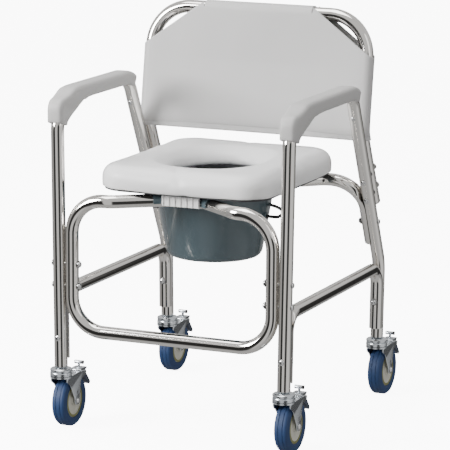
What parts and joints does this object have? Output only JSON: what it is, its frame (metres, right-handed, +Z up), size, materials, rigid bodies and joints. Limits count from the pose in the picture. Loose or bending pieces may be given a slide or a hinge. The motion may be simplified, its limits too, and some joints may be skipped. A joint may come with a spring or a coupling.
{
  "type": "commode chair",
  "caption": "Wheeled commode chair with a bent tube frame, arms, a sleeve backrest, a padded ring seat over a lift-out pail, and braked swivel casters.",
  "frame": {"origin": "on the floor, in the middle of the chair's bounding box", "axes": "+X to the chair's right side as seen from its front, +Y towards its back, +Z up"},
  "size_m": [0.5122, 0.6104, 0.7874],
  "materials": {
    "tube": "polished",
    "bright_steel": "bright",
    "zinc": "bright zinc plate",
    "vinyl": "matt coated vinyl",
    "seat": "satin skin over moulded foam",
    "clip": "satin",
    "pad": "satin moulded foam skin",
    "pail_plastic": "gloss",
    "black_plastic": "satin",
    "hub": "satin",
    "tyre": "satin",
    "pedal": "satin"
  },
  "bodies": {
    "frame": {"side_frame_left": "tube", "side_frame_right": "tube", "front_frame": "tube", "rear_support": "tube", "backrest_tube": "tube", "side_rail_left": "tube", "side_rail_right": "tube", "backrest_plug_left": "black_plastic", "backrest_plug_right": "black_plastic", "back_sleeve": "vinyl", "arm_pad_left": "pad", "arm_pad_right": "pad", "pail": "pail_plastic", "loop_bolt_left_upper": "bright_steel", "loop_bolt_left_lower": "bright_steel", "rail_bolt_left_front": "bright_steel", "rail_bolt_left_rear": "bright_steel", "support_bolt_left": "bright_steel", "loop_bolt_right_upper": "bright_steel", "loop_bolt_right_lower": "bright_steel", "rail_bolt_right_front": "bright_steel", "rail_bolt_right_rear": "bright_steel", "support_bolt_right": "bright_steel", "caster_stem_front_left": "zinc", "caster_stem_front_right": "zinc", "caster_stem_rear_left": "zinc", "caster_stem_rear_right": "zinc"},
    "seat": {"seat_base": "seat", "seat_cushion": "seat", "seat_front_clip": "clip"},
    "pail_handle": {"pail_handle": "black_plastic"},
    "caster_front_left": {"caster_cup_front_left": "zinc", "caster_fork_front_left": "zinc", "caster_axle_front_left": "bright_steel"},
    "wheel_front_left": {"wheel_hub_front_left": "hub", "wheel_tyre_front_left": "tyre"},
    "brake_front_left": {"brake_lever_front_left": "pedal", "brake_screw_front_left": "zinc"},
    "caster_front_right": {"caster_cup_front_right": "zinc", "caster_fork_front_right": "zinc", "caster_axle_front_right": "bright_steel"},
    "wheel_front_right": {"wheel_hub_front_right": "hub", "wheel_tyre_front_right": "tyre"},
    "brake_front_right": {"brake_lever_front_right": "pedal", "brake_screw_front_right": "zinc"},
    "caster_rear_left": {"caster_cup_rear_left": "zinc", "caster_fork_rear_left": "zinc", "caster_axle_rear_left": "bright_steel"},
    "wheel_rear_left": {"wheel_hub_rear_left": "hub", "wheel_tyre_rear_left": "tyre"},
    "brake_rear_left": {"brake_lever_rear_left": "pedal", "brake_screw_rear_left": "zinc"},
    "caster_rear_right": {"caster_cup_rear_right": "zinc", "caster_fork_rear_right": "zinc", "caster_axle_rear_right": "bright_steel"},
    "wheel_rear_right": {"wheel_hub_rear_right": "hub", "wheel_tyre_rear_right": "tyre"},
    "brake_rear_right": {"brake_lever_rear_right": "pedal", "brake_screw_rear_right": "zinc"}
  },
  "joints": [
    {"name": "seat_lift", "type": "slide", "parent": "frame", "child": "seat", "axis": [0, -0.9397, 0.342], "range_m": [0, 0.3]},
    {"name": "handle_swing", "type": "hinge", "parent": "frame", "child": "pail_handle", "pos_m": [0, -0.08375, 0.408], "axis": [1, 0, 0], "range_deg": [-170, 0]},
    {"name": "swivel_front_left", "type": "hinge", "parent": "frame", "child": "caster_front_left", "pos_m": [-0.2297, -0.28375, 0.11], "axis": [0, 0, 1], "continuous": true},
    {"name": "wheel_spin_front_left", "type": "hinge", "parent": "caster_front_left", "child": "wheel_front_left", "pos_m": [-0.2297, -0.25075, 0.05], "axis": [1, 0, 0], "continuous": true},
    {"name": "brake_front_left", "type": "hinge", "parent": "caster_front_left", "child": "brake_front_left", "pos_m": [-0.2297, -0.21675, 0.099], "axis": [1, 0, 0], "range_deg": [-12, 0]},
    {"name": "swivel_front_right", "type": "hinge", "parent": "frame", "child": "caster_front_right", "pos_m": [0.2297, -0.28375, 0.11], "axis": [0, 0, 1], "continuous": true},
    {"name": "wheel_spin_front_right", "type": "hinge", "parent": "caster_front_right", "child": "wheel_front_right", "pos_m": [0.2297, -0.25075, 0.05], "axis": [1, 0, 0], "continuous": true},
    {"name": "brake_front_right", "type": "hinge", "parent": "caster_front_right", "child": "brake_front_right", "pos_m": [0.2297, -0.21675, 0.099], "axis": [1, 0, 0], "range_deg": [-12, 0]},
    {"name": "swivel_rear_left", "type": "hinge", "parent": "frame", "child": "caster_rear_left", "pos_m": [-0.2297, 0.20125, 0.11], "axis": [0, 0, 1], "continuous": true},
    {"name": "wheel_spin_rear_left", "type": "hinge", "parent": "caster_rear_left", "child": "wheel_rear_left", "pos_m": [-0.2297, 0.23425, 0.05], "axis": [1, 0, 0], "continuous": true},
    {"name": "brake_rear_left", "type": "hinge", "parent": "caster_rear_left", "child": "brake_rear_left", "pos_m": [-0.2297, 0.26825, 0.099], "axis": [1, 0, 0], "range_deg": [-12, 0]},
    {"name": "swivel_rear_right", "type": "hinge", "parent": "frame", "child": "caster_rear_right", "pos_m": [0.2297, 0.20125, 0.11], "axis": [0, 0, 1], "continuous": true},
    {"name": "wheel_spin_rear_right", "type": "hinge", "parent": "caster_rear_right", "child": "wheel_rear_right", "pos_m": [0.2297, 0.23425, 0.05], "axis": [1, 0, 0], "continuous": true},
    {"name": "brake_rear_right", "type": "hinge", "parent": "caster_rear_right", "child": "brake_rear_right", "pos_m": [0.2297, 0.26825, 0.099], "axis": [1, 0, 0], "range_deg": [-12, 0]}
  ]
}
